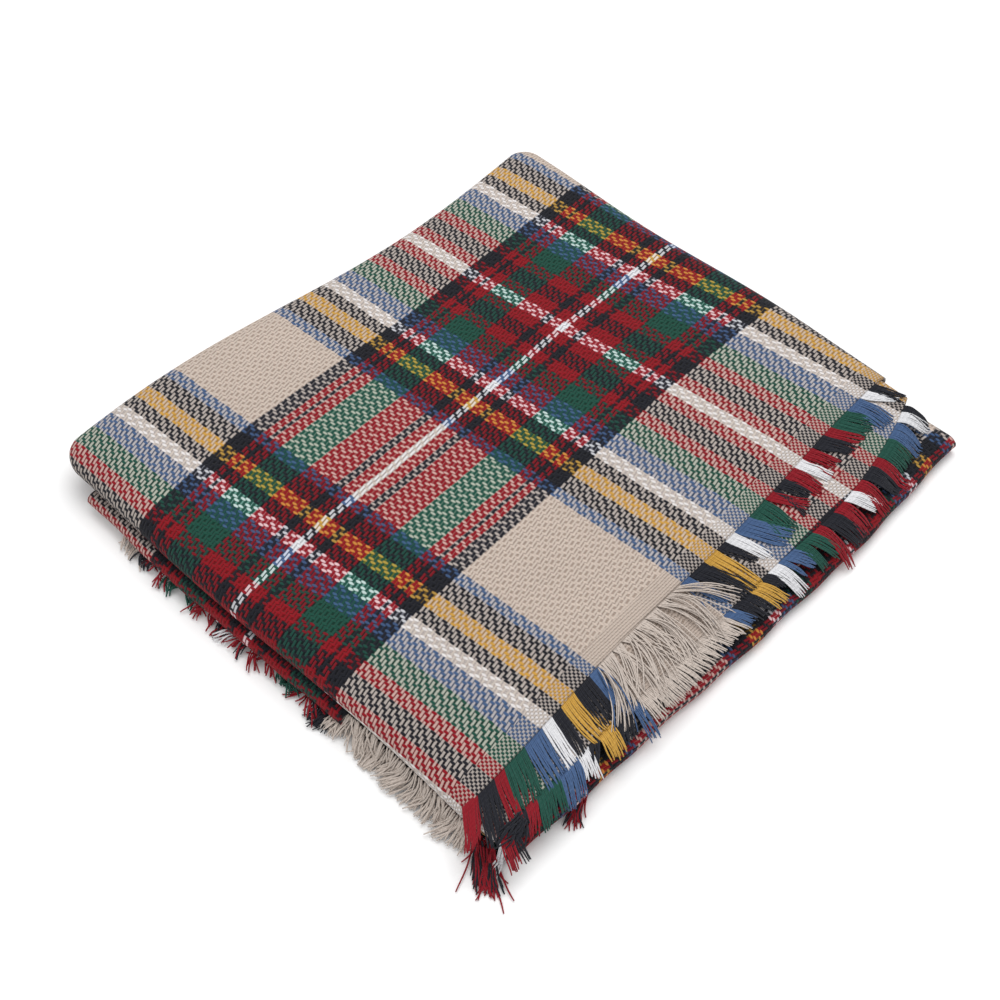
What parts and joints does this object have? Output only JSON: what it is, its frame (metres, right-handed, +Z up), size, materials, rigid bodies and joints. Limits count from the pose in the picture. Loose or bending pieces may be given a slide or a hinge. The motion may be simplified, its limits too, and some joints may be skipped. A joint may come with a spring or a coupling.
{
  "type": "folded blanket scarf",
  "caption": "Large square tartan blanket scarf with fringed edges, folded in four both ways and lying flat.",
  "frame": {"origin": "centre of the bounding box's bottom face, on the surface that the scarf lies on", "axes": "+X along the warp from the rounded double fold to the fringed ends, +Y along the weft from the front edge of folds and side fringe to the smooth back fold, +Z up"},
  "size_m": [0.3574, 0.3904, 0.0275],
  "materials": {
    "tartan_cloth": "soft brushed acrylic yarn woven as a broken twill, tartan in beige, red, green, blue, black, mustard and white",
    "hidden_layers": "edges of the same cloth, folded inside the pile",
    "fringe_yarn": "loose spun yarns, matt and slightly hairy"
  },
  "bodies": {
    "root": {"top_layer": "tartan_cloth", "second_layer": "tartan_cloth", "lower_fold": "tartan_cloth", "front_fold": "tartan_cloth", "bottom_layer": "tartan_cloth", "core": "hidden_layers", "top_end_fringe": "fringe_yarn", "second_end_fringe": "fringe_yarn", "dark_side_fringe": "fringe_yarn", "beige_side_fringe": "fringe_yarn", "corner_tassel": "fringe_yarn", "small_tuft": "fringe_yarn"}
  },
  "joints": []
}
